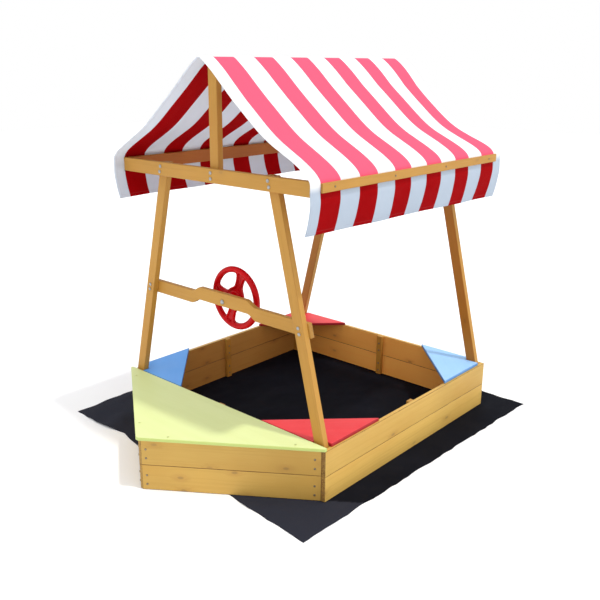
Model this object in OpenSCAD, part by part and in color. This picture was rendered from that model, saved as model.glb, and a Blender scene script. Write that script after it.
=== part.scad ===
// Boat-shaped sandbox with a striped canopy, corner seats and a steering wheel.
// Origin: centre of the square box footprint on the ground. +Z up, bow towards -Y, +X starboard.

/* [Box] */
// outside width of the box across the side walls
box_w = 1050; // [840:10:1300]
// outside depth of the square box, front wall to rear wall
box_l = 1066; // [860:10:1300]
// height of one plank, two planks to a wall
plank_h = 94.5; // [70:0.5:130]
// thickness of the wall planks
plank_t = 16; // [12:1:24]
// how far the bow sticks out ahead of the front wall
bow_l = 364; // [280:4:450]
// thickness of the ground sheet
sheet_t = 1; // [0.8:0.1:3]

/* [Seats and bow lid] */
// leg of each triangular corner seat
seat_leg = 300; // [230:5:370]
// thickness of the seats and of the bow lid
seat_t = 12; // [9:1:20]

/* [Roof frame] */
// height of the top of the crossbeams above the ground
beam_top = 1073; // [880:5:1300]
// height of a crossbeam and of an eave rail
beam_h = 50; // [40:1:70]
// thickness of crossbeams, rails, ridge beam and wheel board
beam_t = 18; // [14:1:25]
// length of a crossbeam
beam_l = 980; // [800:10:1200]
// distance between the two posts' centre lines at the crossbeam
head_w = 544; // [440:4:700]
// width of a post or king post
post_w = 42; // [34:1:55]
// thickness of a post or king post
post_t = 24; // [18:1:32]
// height of the ridge of the canopy above the ground
ridge_z = 1436; // [1300:4:1700]

/* [Canopy] */
// length of the canopy cloth along the ridge
cloth_l = 1176; // [1100:4:1350]
// thickness of the cloth
cloth_t = 2; // [1.2:0.1:3]
// how far the valance hangs below the top of the rail
valance = 160; // [100:5:200]
// height of the outer clamp batten
clamp_h = 30; // [22:1:40]
// thickness of the outer clamp batten
clamp_t = 8; // [6:1:14]

/* [Steering wheel] */
// outside diameter of the steering wheel
wheel_d = 240; // [190:5:290]
// diameter of the rim tube
rim_d = 23; // [16:1:30]
// height of the wheel's axle above the ground
wheel_z = 588; // [480:4:700]
// how far the rim stands off the back of the wheel board
wheel_off = 50; // [40:2:70]
// diameter of the wheel bolt
bolt_d = 8; // [6:1:10]

/* [Hidden] */
$fn = 32;
base_z = sheet_t;
wall_top = base_z + 2 * plank_h;
hx = box_w / 2;
hy = box_l / 2;
in_x = hx - plank_t;
in_y = hy - plank_t;
seat_top = wall_top + seat_t;

// leaning posts, measured along X at a given height
beam_mid = beam_top - beam_h / 2;
lean_gap = 2.6;
post_hw0 = post_w / 2;
foot_x = in_x - post_hw0 * 1.03 - lean_gap;
lean = (foot_x - head_w / 2) / (beam_mid - wall_top);
post_hw = post_hw0 * sqrt(1 + lean * lean);
post_foot_z = 30;
function post_x(z) = head_w / 2 + lean * (beam_mid - z);

// bow panels
bow_dx = in_x;
bow_s = sqrt(bow_dx * bow_dx + bow_l * bow_l);
nose_y = -hy - bow_l;
nose_flat = 4;
panel_end_x = in_x - plank_t * bow_s / bow_l;
panel_in_y = nose_y + plank_t * bow_s / bow_dx;
lid_over = 6;
lid_back = 8;
seat_in = 7;
seat_wall = 10;
seat_gap = 0.5;
seat_front_y = hy - seat_wall;

// battens and blocks
batten_w = 28;
batten_t = 15;
block_w = 22;
nose_block_d = 36;
cleat_w = 20;
cleat_h = 44;

// roof
beam_y = in_y + beam_t;
rail_x = beam_l / 2;
king_top = ridge_z - 8;
ridge_top = ridge_z - 5.4;
ridge_h = 45;
eave_x = rail_x + cloth_t / 2;
clamp_l = box_l + 14;
clamp_screw = 320;
roof_rise = ridge_z - beam_top;
skew_left = 8;
skew_ridge = 12;
skew_right = 0;

// crown of the cloth over the ridge beam: how far past the beam's corner, and how far down
crown_past = 5.24;
crown_drop = 5.81;
// middle line of the cloth from the crown to the rail, as [share of width, share of rise]
CLOTH = [[0.13, 0.882], [0.24, 0.76], [0.4, 0.587], [0.558, 0.413], [0.66, 0.317], [0.765, 0.237],
    [0.86, 0.165], [0.935, 0.1], [0.978, 0.05], [1, 0.003], [1, 0.001 - clamp_h / roof_rise]];
// lower end of the cloth, below the clamp batten, as [offset in mm, share of the valance]
HEM = [[1.5, 0.36], [-2, 0.53], [-11, 0.78], [-23, 1]];
cloth_half = concat(
    [[0, ridge_z], [beam_t / 2 + crown_past, ridge_z - crown_drop]],
    [for (p = CLOTH) [p[0] * eave_x, beam_top + p[1] * roof_rise]],
    [for (p = HEM) [eave_x + p[0], beam_top - p[1] * valance]]
);

// steering wheel
board_y = in_y - post_t;
board_back = board_y - beam_t;
wheel_y = board_back - wheel_off;
board_z = wheel_z - 13;
board_raise = 20;
board_over = 6;
bore_gap = 0.06;
turn_gap = 0.3;
washer_t = 2.4;
web_t = 12;
hub_r = 30;
hub_back = web_t / 2 + 5;
nut_pocket = 14;
rim_r = (wheel_d - rim_d) / 2;
web_r = 42;
spoke_turns = [71, 172, 250];

// fasteners
frame_bolt_d = 6;
bolt_clear = 0.2;
bolt_pitch = 20;
screw_d = 4;
screw_head_d = 8;

module along_y(y0, len) {
    translate([0, y0 + len, 0])
        rotate([90, 0, 0])
            linear_extrude(height = len)
                children();
}

module block(x0, y0, z0, sx, sy, sz) {
    translate([x0, y0, z0])
        cube([sx, sy, sz]);
}

// wood screw: head outside the surface, shank along -Z into the wood
module screw(len, d = screw_d, head_d = screw_head_d) {
    translate([0, 0, -len])
        cylinder(h = len + 0.5, d = d, $fn = 16);
    cylinder(h = 1.2, d = head_d, $fn = 24);
    translate([0, 0, 1.2])
        cylinder(h = 0.8, d1 = head_d, d2 = head_d * 0.6, $fn = 24);
}

// through bolt along +Y: round head on the front, nut at the back
module frame_bolt(grip) {
    rotate([-90, 0, 0])
        cylinder(h = grip + 6, d = frame_bolt_d, $fn = 24);
    rotate([90, 0, 0])
        cylinder(h = 2.2, d = 12, $fn = 24);
    translate([0, -2.2, 0])
        rotate([90, 0, 0])
            cylinder(h = 1.8, d1 = 12, d2 = 6.5, $fn = 24);
    translate([0, grip, 0])
        rotate([-90, 0, 0])
            cylinder(h = 5, d = 11, $fn = 6);
}

module bolt_hole(x, y0, z, len) {
    translate([x, y0 - 1, z])
        rotate([-90, 0, 0])
            cylinder(h = len + 2, d = frame_bolt_d + 2 * bolt_clear, $fn = 24);
}

// ---- ground sheet ----
module ground_sheet() {
    color("#15161a")
        linear_extrude(height = sheet_t)
            polygon([
                [-hx - 173, -hy - 168], [-hx - 22, -hy - 177], [-391, -hy - 158], [-271, -hy - 184],
                [40, -hy - 180], [264, -hy - 190], [hx + 95, -hy - 218], [hx + 112, -hy + 330],
                [hx + 140, hy + 123], [-18, hy + 137], [-hx - 165, hy + 107], [-hx - 178, 0]
            ]);
}

// ---- walls ----
module side_plank(side, level) {
    color("#d2a25a")
        block(side * (hx - plank_t / 2) - plank_t / 2, -hy, base_z + level * plank_h, plank_t, box_l, plank_h);
}

module end_plank(side, level) {
    color("#c9984f")
        block(-in_x, side * (hy - plank_t / 2) - plank_t / 2, base_z + level * plank_h, 2 * in_x, plank_t, plank_h);
}

module wall_left_lower() { side_plank(-1, 0); }
module wall_left_upper() { side_plank(-1, 1); }
module wall_right_lower() { side_plank(1, 0); }
module wall_right_upper() { side_plank(1, 1); }
module wall_front_lower() { end_plank(-1, 0); }
module wall_front_upper() { end_plank(-1, 1); }
module wall_rear_lower() { end_plank(1, 0); }
module wall_rear_upper() { end_plank(1, 1); }

// ---- bow panels, mitred at the nose and cut flush to the front wall ----
module bow_plank(side, level) {
    color("#cf9f55")
        translate([0, 0, base_z + level * plank_h])
            linear_extrude(height = plank_h)
                polygon([
                    [side * in_x, -hy], [side * panel_end_x, -hy], [0, panel_in_y], [0, nose_y + nose_flat],
                    [side * nose_flat * bow_dx / bow_l, nose_y + nose_flat]
                ]);
}

module bow_left_lower() { bow_plank(-1, 0); }
module bow_left_upper() { bow_plank(-1, 1); }
module bow_right_lower() { bow_plank(1, 0); }
module bow_right_upper() { bow_plank(1, 1); }

module nose_block() {
    half = nose_block_d * bow_dx / bow_l;
    color("#b98a48")
        translate([0, 0, base_z])
            linear_extrude(height = 2 * plank_h - 4)
                polygon([[0, panel_in_y], [half, panel_in_y + nose_block_d], [-half, panel_in_y + nose_block_d]]);
}

// ---- battens and corner blocks inside the box ----
module batten_left() {
    color("#c08c46")
        block(-in_x, -batten_w / 2, base_z, batten_t, batten_w, 2 * plank_h);
}

module batten_right() {
    color("#c08c46")
        block(in_x - batten_t, -batten_w / 2, base_z, batten_t, batten_w, 2 * plank_h);
}

module batten_front() {
    color("#c08c46")
        block(-batten_w / 2, -in_y, base_z, batten_w, batten_t, 2 * plank_h);
}

module batten_rear() {
    color("#c08c46")
        block(-batten_w / 2, in_y - batten_t, base_z, batten_w, batten_t, 2 * plank_h);
}

module corner_blocks() {
    color("#b98a48")
        for (sx = [-1, 1], sy = [-1, 1])
            block(sx * (in_x - block_w / 2) - block_w / 2, sy * (board_y - block_w / 2) - block_w / 2,
                base_z, block_w, block_w, 2 * plank_h);
}

// ---- bow lid and seats ----
module bow_lid() {
    color("#dce27a")
        translate([0, 0, wall_top])
            linear_extrude(height = seat_t)
                polygon([
                    [-hx, -hy + lid_back], [hx, -hy + lid_back], [hx, -hy - 2],
                    [lid_over, nose_y - lid_over], [-lid_over, nose_y - lid_over], [-hx, -hy - 2]
                ]);
}

module seat(sx, sy) {
    outer = hx - seat_in;
    notch_x = post_x(seat_top) - post_hw - seat_gap;
    translate([0, 0, wall_top])
        linear_extrude(height = seat_t)
            polygon([
                [sx * (outer - seat_leg), sy * seat_front_y], [sx * notch_x, sy * seat_front_y],
                [sx * notch_x, sy * (board_y - 2)], [sx * outer, sy * (board_y - 2)],
                [sx * outer, sy * (seat_front_y - seat_leg)]
            ]);
}

module seat_front_left() { color("#4e9be0") seat(-1, -1); }
module seat_front_right() { color("#c92236") seat(1, -1); }
module seat_rear_left() { color("#c92236") seat(-1, 1); }
module seat_rear_right() { color("#6bb6ee") seat(1, 1); }

// ---- leaning posts, trimmed along the side wall ----
module post(sx, sy) {
    y0 = sy * (in_y - post_t / 2) - post_t / 2;
    color("#d8aa5e")
        difference() {
            intersection() {
                along_y(y0, post_t)
                    polygon([
                        [sx * (post_x(post_foot_z) - post_hw), post_foot_z],
                        [sx * (post_x(post_foot_z) + post_hw), post_foot_z],
                        [sx * (post_x(beam_top) + post_hw), beam_top],
                        [sx * (post_x(beam_top) - post_hw), beam_top]
                    ]);
                block(-in_x, -hy, 0, 2 * in_x, box_l, beam_top + 1);
            }
            for (k = [-1, 1])
                bolt_hole(sx * post_x(beam_mid + k * bolt_pitch / 2), y0, beam_mid + k * bolt_pitch / 2, post_t);
            if (sy < 0)
                for (k = [-1, 1])
                    bolt_hole(sx * post_x(board_z + k * bolt_pitch / 2), y0, board_z + k * bolt_pitch / 2, post_t);
        }
}

module post_front_left() { post(-1, -1); }
module post_front_right() { post(1, -1); }
module post_rear_left() { post(-1, 1); }
module post_rear_right() { post(1, 1); }

// ---- crossbeams, king posts, ridge and rails ----
module crossbeam(sy) {
    y0 = sy * (in_y + beam_t / 2) - beam_t / 2;
    color("#d8aa5e")
        difference() {
            block(-beam_l / 2, y0, beam_top - beam_h, beam_l, beam_t, beam_h);
            for (k = [-1, 1]) {
                z = beam_mid + k * bolt_pitch / 2;
                bolt_hole(0, y0, z, beam_t);
                for (sx = [-1, 1])
                    bolt_hole(sx * post_x(z), y0, z, beam_t);
            }
        }
}

module crossbeam_front() { crossbeam(-1); }
module crossbeam_rear() { crossbeam(1); }

module king_post(sy) {
    y0 = sy * (in_y - post_t / 2) - post_t / 2;
    shoulder = king_top - post_w / 2 * 0.84;
    color("#d8aa5e")
        difference() {
            along_y(y0, post_t)
                polygon([
                    [-post_w / 2, beam_top - beam_h], [post_w / 2, beam_top - beam_h], [post_w / 2, shoulder],
                    [0, king_top], [-post_w / 2, shoulder]
                ]);
            for (k = [-1, 1])
                bolt_hole(0, y0, beam_mid + k * bolt_pitch / 2, post_t);
        }
}

module king_post_front() { king_post(-1); }
module king_post_rear() { king_post(1); }

module ridge_beam() {
    color("#c9984f")
        block(-beam_t / 2, -board_y, ridge_top - ridge_h, beam_t, 2 * board_y, ridge_h);
}

module eave_rail(sx) {
    color("#c9984f")
        block(sx * (rail_x - beam_t / 2) - beam_t / 2, -in_y, beam_top - beam_h, beam_t, 2 * in_y, beam_h);
}

module eave_rail_left() { eave_rail(-1); }
module eave_rail_right() { eave_rail(1); }

module rail_cleats() {
    color("#b98a48")
        for (sx = [-1, 1], sy = [-1, 1])
            block(sx * (rail_x - beam_t - cleat_w / 2) - cleat_w / 2, sy * (in_y - cleat_w / 2) - cleat_w / 2,
                beam_top - beam_h + 3, cleat_w, cleat_w, cleat_h);
}

module clamp_batten(sx) {
    inner = rail_x + cloth_t;
    color("#dcb068")
        block(sx * (inner + clamp_t / 2) - clamp_t / 2, -clamp_l / 2, beam_top - clamp_h, clamp_t, clamp_l, clamp_h);
}

module clamp_batten_left() { clamp_batten(-1); }
module clamp_batten_right() { clamp_batten(1); }

// ---- canopy: one cloth over the ridge and both rails, hung a little out of square ----
function unit(v) = v / norm(v);
function normal_at(P, i) =
    let (a = unit(P[min(i + 1, len(P) - 1)] - P[i == len(P) - 1 ? i - 1 : i]),
        b = unit(P[i == 0 ? 1 : i] - P[max(i - 1, 0)]),
        t = unit(a + b),
        c = sqrt(max(0.3, (1 + a * b) / 2)))
    [-t[1], t[0]] / c;

module canopy() {
    right = cloth_half;
    n = len(right);
    full = concat([for (i = [n - 1:-1:1]) [-right[i][0], right[i][1]]], right);
    m = len(full);
    top = [for (i = [0:m - 1]) full[i] + normal_at(full, i) * cloth_t / 2];
    bottom = [for (i = [m - 1:-1:0]) full[i] - normal_at(full, i) * cloth_t / 2];
    wide = eave_x + 30;
    color("#e8404f")
        intersection() {
            along_y(-cloth_l / 2 - 60, cloth_l + 120)
                polygon(concat(top, bottom));
            translate([0, 0, beam_top - valance - 40])
                linear_extrude(height = roof_rise + valance + 80)
                    polygon([
                        [-wide, skew_left - cloth_l / 2], [0, skew_ridge - cloth_l / 2],
                        [wide, skew_right - cloth_l / 2], [wide, skew_right + cloth_l / 2],
                        [0, skew_ridge + cloth_l / 2], [-wide, skew_left + cloth_l / 2]
                    ]);
        }
}

// ---- wheel board with a raised middle ----
function ease(t) = (1 - cos(180 * t)) / 2;

module wheel_board() {
    half_h = beam_h / 2;
    top_end = post_x(board_z + half_h) + post_hw + board_over;
    low_end = post_x(board_z - half_h) + post_hw + board_over;
    half = concat(
        [for (i = [0:8]) [118 + 48 * i / 8, board_z + half_h + board_raise * (1 - ease(i / 8))]],
        [[top_end, board_z + half_h], [low_end, board_z - half_h]],
        [for (i = [8:-1:0]) [124 + 48 * i / 8, board_z - half_h + board_raise * (1 - ease(i / 8))]]
    );
    mirrored = [for (i = [len(half) - 1:-1:0]) [-half[i][0], half[i][1]]];
    color("#d8aa5e")
        difference() {
            along_y(-board_y, beam_t)
                polygon(concat(half, mirrored));
            for (sx = [-1, 1], k = [-1, 1])
                bolt_hole(sx * post_x(board_z + k * bolt_pitch / 2), -board_y, board_z + k * bolt_pitch / 2, beam_t);
            translate([0, -board_y - 1, wheel_z])
                rotate([-90, 0, 0])
                    cylinder(h = beam_t + 2, d = bolt_d + 2 * bolt_clear);
        }
}

// ---- steering wheel and its bolt ----
function spoke_half(r) = 11 + 9 * pow((r - 62) / 44, 2);

module spoke() {
    steps = 8;
    r0 = 18;
    r1 = rim_r - 1;
    side = [for (i = [0:steps]) let (r = r0 + (r1 - r0) * i / steps) [r, spoke_half(62 + (r - (r0 + r1) / 2))]];
    polygon(concat(side, [for (i = [steps:-1:0]) [side[i][0], -side[i][1]]]));
}

module steering_wheel() {
    stem = wheel_off - washer_t - turn_gap;
    color("#cf1420")
        translate([0, -wheel_y, wheel_z])
            rotate([90, 0, 0])
                difference() {
                    union() {
                        rotate_extrude($fn = 72)
                            translate([rim_r, 0])
                                circle(d = rim_d, $fn = 24);
                        translate([0, 0, -web_t / 2])
                            linear_extrude(height = web_t) {
                                circle(r = web_r, $fn = 48);
                                for (turn = spoke_turns)
                                    rotate(turn)
                                        spoke();
                            }
                        translate([0, 0, -hub_back])
                            cylinder(h = hub_back + web_t / 2 + 2, r = hub_r, $fn = 48);
                        cylinder(h = stem, r1 = 27, r2 = 17, $fn = 48);
                    }
                    translate([0, 0, -hub_back - 1])
                        cylinder(h = hub_back + stem + 2, d = bolt_d + 2 * bore_gap, $fn = 48);
                    translate([0, 0, -hub_back - 1])
                        cylinder(h = 13, r = nut_pocket, $fn = 48);
                }
}

module wheel_cap() {
    color("#a80f19")
        translate([0, -wheel_y + hub_back, wheel_z])
            rotate([-90, 0, 0]) {
                cylinder(h = 2.5, r = 25, $fn = 48);
                translate([0, 0, 2.5])
                    cylinder(h = 2.5, r1 = 25, r2 = 19, $fn = 48);
            }
}

module wheel_bolt() {
    shank = beam_t + wheel_off + hub_back - 3;
    color("#b9bcc0")
        translate([0, -board_y, wheel_z]) {
            rotate([-90, 0, 0])
                cylinder(h = shank, d = bolt_d, $fn = 48);
            rotate([90, 0, 0])
                cylinder(h = 3, d = 17);
            translate([0, -3, 0])
                rotate([90, 0, 0])
                    cylinder(h = 3, d1 = 17, d2 = 9);
        }
}

module wheel_washer() {
    color("#b9bcc0")
        translate([0, -board_back, wheel_z])
            rotate([-90, 0, 0])
                difference() {
                    cylinder(h = washer_t, d = 24);
                    translate([0, 0, -1])
                        cylinder(h = washer_t + 2, d = bolt_d + 0.1);
                }
}

module wheel_nut() {
    color("#8f9296")
        translate([0, -wheel_y + hub_back - 12 + turn_gap, wheel_z])
            rotate([-90, 0, 0])
                difference() {
                    cylinder(h = 7, d = 14, $fn = 6);
                    translate([0, 0, -1])
                        cylinder(h = 9, d = bolt_d + 0.1);
                }
}

// ---- fasteners ----
module beam_bolts(sy) {
    color("#b9bcc0")
        for (k = [-1, 1], sx = [-1, 0, 1]) {
            z = beam_mid + k * bolt_pitch / 2;
            translate([sx * post_x(z), sy * beam_y, z])
                rotate(sy < 0 ? 0 : 180)
                    frame_bolt(beam_t + post_t);
        }
}

module beam_bolts_front() { beam_bolts(-1); }
module beam_bolts_rear() { beam_bolts(1); }

module board_bolts() {
    color("#b9bcc0")
        for (k = [-1, 1], sx = [-1, 1]) {
            z = board_z + k * bolt_pitch / 2;
            translate([sx * post_x(z), -in_y, z])
                frame_bolt(post_t + beam_t);
        }
}

// heights of the two screws in each plank
SCREW_Z = [for (level = [0, 1], s = [0.22, 0.58]) base_z + plank_h * (level + s + 0.05 * level)];

module batten_screws() {
    color("#9a9c9f")
        for (z = SCREW_Z) {
            for (s = [-1, 1]) {
                translate([s * (in_x - batten_t), 0, z])
                    rotate([0, -s * 90, 0])
                        screw(26);
                translate([0, s * (in_y - batten_t), z])
                    rotate([s * 90, 0, 0])
                        screw(26);
            }
        }
}

module bow_screws() {
    along = atan2(bow_l, bow_dx);
    nose_in = 24;
    wall_in = 22;
    wall_grip = (plank_t - 2 + wall_in * sin(along)) / cos(along);
    color("#9a9c9f")
        for (z = SCREW_Z, s = [-1, 1], end = [[nose_in, 30], [bow_s - wall_in, wall_grip]])
            translate([s * end[0] * cos(along), nose_y + end[0] * sin(along), z])
                rotate([0, 0, s * along])
                    rotate([90, 0, 0])
                        screw(end[1]);
}

module lid_screws() {
    color("#9a9c9f")
        for (s = [-1, 1], f = [0.155, 0.85])
            translate([s * f * bow_dx, nose_y + f * bow_l + plank_t * 0.6, seat_top])
                screw(45);
}

module post_screws() {
    color("#9a9c9f")
        for (sx = [-1, 1], sy = [-1, 1], z = [0.87, 0.96] * 2 * plank_h) {
            x = (post_x(z) - post_hw + in_x - block_w) / 2;
            translate([sx * x, sy * board_y, z])
                rotate([sy * 90, 0, 0])
                    screw(36);
        }
}

module block_screws() {
    color("#9a9c9f")
        for (sx = [-1, 1], sy = [-1, 1], z = [0.25, 0.75] * 2 * plank_h)
            translate([sx * (in_x - block_w), sy * (board_y - block_w / 2), z + base_z])
                rotate([0, -sx * 90, 0])
                    screw(block_w + plank_t - 4);
}

module clamp_screws() {
    color("#9a9c9f")
        for (sx = [-1, 1], k = [-1.5:1:1.5])
            translate([sx * (rail_x + cloth_t + clamp_t), k * clamp_screw, beam_top - clamp_h / 2])
                rotate([0, sx * 90, 0])
                    screw(clamp_t + cloth_t + 14, d = 3.5, head_d = 7);
}

ground_sheet();
wall_left_lower();
wall_left_upper();
wall_right_lower();
wall_right_upper();
wall_front_lower();
wall_front_upper();
wall_rear_lower();
wall_rear_upper();
bow_left_lower();
bow_left_upper();
bow_right_lower();
bow_right_upper();
nose_block();
batten_left();
batten_right();
batten_front();
batten_rear();
corner_blocks();
bow_lid();
seat_front_left();
seat_front_right();
seat_rear_left();
seat_rear_right();
post_front_left();
post_front_right();
post_rear_left();
post_rear_right();
crossbeam_front();
crossbeam_rear();
king_post_front();
king_post_rear();
ridge_beam();
eave_rail_left();
eave_rail_right();
rail_cleats();
clamp_batten_left();
clamp_batten_right();
canopy();
wheel_board();
steering_wheel();
wheel_cap();
wheel_bolt();
wheel_washer();
wheel_nut();
beam_bolts_front();
beam_bolts_rear();
board_bolts();
batten_screws();
bow_screws();
lid_screws();
post_screws();
block_screws();
clamp_screws();
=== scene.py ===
import math
import bpy
import bmesh
from mathutils import Matrix, Vector, noise


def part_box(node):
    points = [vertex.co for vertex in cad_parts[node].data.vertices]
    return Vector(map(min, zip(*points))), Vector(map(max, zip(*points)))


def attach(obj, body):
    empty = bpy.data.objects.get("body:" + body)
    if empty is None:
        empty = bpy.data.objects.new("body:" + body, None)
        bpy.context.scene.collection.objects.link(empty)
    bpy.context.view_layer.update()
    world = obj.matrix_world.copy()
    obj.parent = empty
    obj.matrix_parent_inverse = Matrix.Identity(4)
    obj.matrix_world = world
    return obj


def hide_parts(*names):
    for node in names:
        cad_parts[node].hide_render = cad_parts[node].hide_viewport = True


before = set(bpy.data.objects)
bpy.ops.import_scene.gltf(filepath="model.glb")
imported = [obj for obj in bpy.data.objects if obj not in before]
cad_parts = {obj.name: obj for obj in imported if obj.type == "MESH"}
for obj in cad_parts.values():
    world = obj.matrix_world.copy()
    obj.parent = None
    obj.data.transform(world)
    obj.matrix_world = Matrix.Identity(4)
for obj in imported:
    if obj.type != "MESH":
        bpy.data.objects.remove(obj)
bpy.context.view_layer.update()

scene = bpy.context.scene
scene.view_settings.view_transform = "Standard"

# sizes of the frame, in metres
box = {"halfWide": 0.525, "halfLong": 0.533, "plank": 0.016, "base": 0.001, "plankTall": 0.0945, "bow": 0.364}
innerX = box["halfWide"] - box["plank"]
innerY = box["halfLong"] - box["plank"]
wallTop = box["base"] + 2 * box["plankTall"]
noseY = -box["halfLong"] - box["bow"]
bowLong = math.hypot(innerX, box["bow"])
roof = {"beamTop": 1.073, "beamTall": 0.05, "beamThick": 0.018, "beamLong": 0.98, "head": 0.272,
        "post": 0.042, "postThick": 0.024, "ridge": 1.436, "lean": 0.24799, "valance": 0.16}
beamMid = roof["beamTop"] - roof["beamTall"] / 2
postHalf = roof["post"] / 2 * math.sqrt(1 + roof["lean"] ** 2)
boardY = innerY - roof["postThick"]


def postX(height):
    return roof["head"] + roof["lean"] * (beamMid - height)


# ---- camera ----
camera = {"place": (1.93610, -2.28218, 1.41005), "tilt": 73.106, "turn": 42.727, "lens": 45.58,
          "shift": (0.0335, -0.0072), "sensor": 36, "farClip": 60}
lens = bpy.data.cameras.new("camera")
lens.lens = camera["lens"]
lens.sensor_width = camera["sensor"]
lens.shift_x, lens.shift_y = camera["shift"]
lens.clip_end = camera["farClip"]
viewer = bpy.data.objects.new("camera", lens)
viewer.location = camera["place"]
viewer.rotation_euler = (math.radians(camera["tilt"]), 0, math.radians(camera["turn"]))
scene.collection.objects.link(viewer)
scene.camera = viewer
print("camera placed")


# ---- shader helpers ----
class Wire:
    def __init__(self, finish, socket):
        self.finish = finish
        self.socket = socket

    def math(self, operation, first, second=0.0):
        return self.finish.add("ShaderNodeMath", {"operation": operation}, {0: first, 1: second})

    def __add__(self, other):
        return self.math("ADD", self, other)

    def __sub__(self, other):
        return self.math("SUBTRACT", self, other)

    def __mul__(self, other):
        return self.math("MULTIPLY", self, other)

    def __truediv__(self, other):
        return self.math("DIVIDE", self, other)

    def part(self, name):
        return Wire(self.finish, self.socket.node.outputs[name])


class Finish:
    def __init__(self, name):
        self.material = bpy.data.materials.new(name)
        self.material.use_nodes = True
        self.tree = self.material.node_tree
        self.tree.nodes.clear()

    def add(self, kind, settings=None, sockets=None, output=0):
        node = self.tree.nodes.new(kind)
        for key, value in (settings or {}).items():
            if key == "stops":
                ramp = node.color_ramp
                for index, (place, shade) in enumerate(value):
                    stop = ramp.elements[index] if index < 2 else ramp.elements.new(place)
                    stop.position = place
                    stop.color = shade
            else:
                setattr(node, key, value)
        for key, value in (sockets or {}).items():
            if isinstance(value, Wire):
                self.tree.links.new(value.socket, node.inputs[key])
            else:
                node.inputs[key].default_value = value
        return Wire(self, node.outputs[output])

    def attribute(self, name, output="Fac"):
        return self.add("ShaderNodeAttribute", {"attribute_name": name}, output=output)

    def objectPlace(self):
        return self.add("ShaderNodeTexCoord", output="Object")

    def scaled(self, vector, scale, shift=(0, 0, 0)):
        return self.add("ShaderNodeMapping", {}, {"Vector": vector, "Scale": scale, "Location": shift})

    def cloud(self, vector, scale, detail=3.0, rough=0.5):
        return self.add("ShaderNodeTexNoise", {},
                        {"Vector": vector, "Scale": scale, "Detail": detail, "Roughness": rough})

    def soften(self, value, low, high, outLow=0.0, outHigh=1.0):
        return self.add("ShaderNodeMapRange", {"interpolation_type": "SMOOTHSTEP"},
                        {"Value": value, "From Min": low, "From Max": high,
                         "To Min": outLow, "To Max": outHigh})

    def mix(self, factor, first, second, way="MIX"):
        return self.add("ShaderNodeMix", {"data_type": "RGBA", "blend_type": way},
                        {0: factor, 6: first, 7: second}, output=2)

    def bands(self, vector, way, scale, distortion, detail):
        return self.add("ShaderNodeTexWave", {"wave_type": "BANDS", "bands_direction": way},
                        {"Vector": vector, "Scale": scale, "Distortion": distortion, "Detail": detail})

    def size(self, value):
        return self.add("ShaderNodeMath", {"operation": "ABSOLUTE"}, {0: value})

    def surface(self, constants, links, bump=None, depth=0.001):
        shader = self.add("ShaderNodeBsdfPrincipled", {}, {**constants, **links})
        if bump is not None:
            dent = self.add("ShaderNodeBump", {}, {"Height": bump, "Distance": depth, "Strength": 1.0})
            self.tree.links.new(dent.socket, shader.socket.node.inputs["Normal"])
        out = self.tree.nodes.new("ShaderNodeOutputMaterial")
        self.tree.links.new(shader.socket, out.inputs["Surface"])
        return self.material


def rgb(red, green, blue):
    return (red, green, blue, 1.0)


# ---- stained timber ----
# the inner column multiplies the colour of faces turned into the box: painted shade and painted warm bounce
# light, deeper and more saturated than the outer faces
stainKeys = ("slot", "light", "dark", "warm", "inner", "knots", "seam", "ends")
stainRows = {
    "stainedPlank": ("stained_plank", rgb(0.66, 0.42, 0.10), rgb(0.50, 0.275, 0.052),
                     rgb(0.61, 0.35, 0.072), rgb(1.12, 0.82, 0.74), 1.0, 0.9, 1.0),
    "stainedBow": ("stained_plank", rgb(0.60, 0.375, 0.088), rgb(0.455, 0.25, 0.046),
                   rgb(0.55, 0.315, 0.064), rgb(1.0, 0.82, 0.74), 1.0, 0.9, 1.0),
    "stainedPost": ("stained_post", rgb(0.545, 0.28, 0.048), rgb(0.415, 0.19, 0.027),
                    rgb(0.505, 0.24, 0.037), rgb(0.84, 0.6, 0.25), 0.6, 0.18, 0.45),
    "stainedBatten": ("stained_batten", rgb(0.56, 0.29, 0.046), rgb(0.42, 0.19, 0.026),
                      rgb(0.50, 0.24, 0.036), rgb(1.0, 0.86, 0.7), 0.7, 0.2, 0.2),
    # the batten stain again with a much deeper inner column: painted shade on the rails' inward faces under
    # the canopy
    "stainedRailPaintedShade": ("stained_batten", rgb(0.56, 0.29, 0.046), rgb(0.42, 0.19, 0.026),
                    rgb(0.50, 0.24, 0.036), rgb(0.72, 0.38, 0.1), 0.5, 0.2, 0.2),
}
stains = {name: dict(zip(stainKeys, row)) for name, row in stainRows.items()}
# painted light and shade per board, as (outer face, inner face) colour multipliers: the rear walls' inner
# faces painted lighter, the left walls' inner faces painted darker, the lower right boards' outer faces
# painted lighter
paintedLightByBoard = {"wall_rear_lower": (1.0, 1.5), "wall_rear_upper": (1.0, 1.42),
              "wall_left_lower": (1.0, 0.76), "wall_left_upper": (1.0, 0.76),
              "wall_right_lower": (1.15, 1.0), "bow_right_lower": (1.06, 1.0)}


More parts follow.
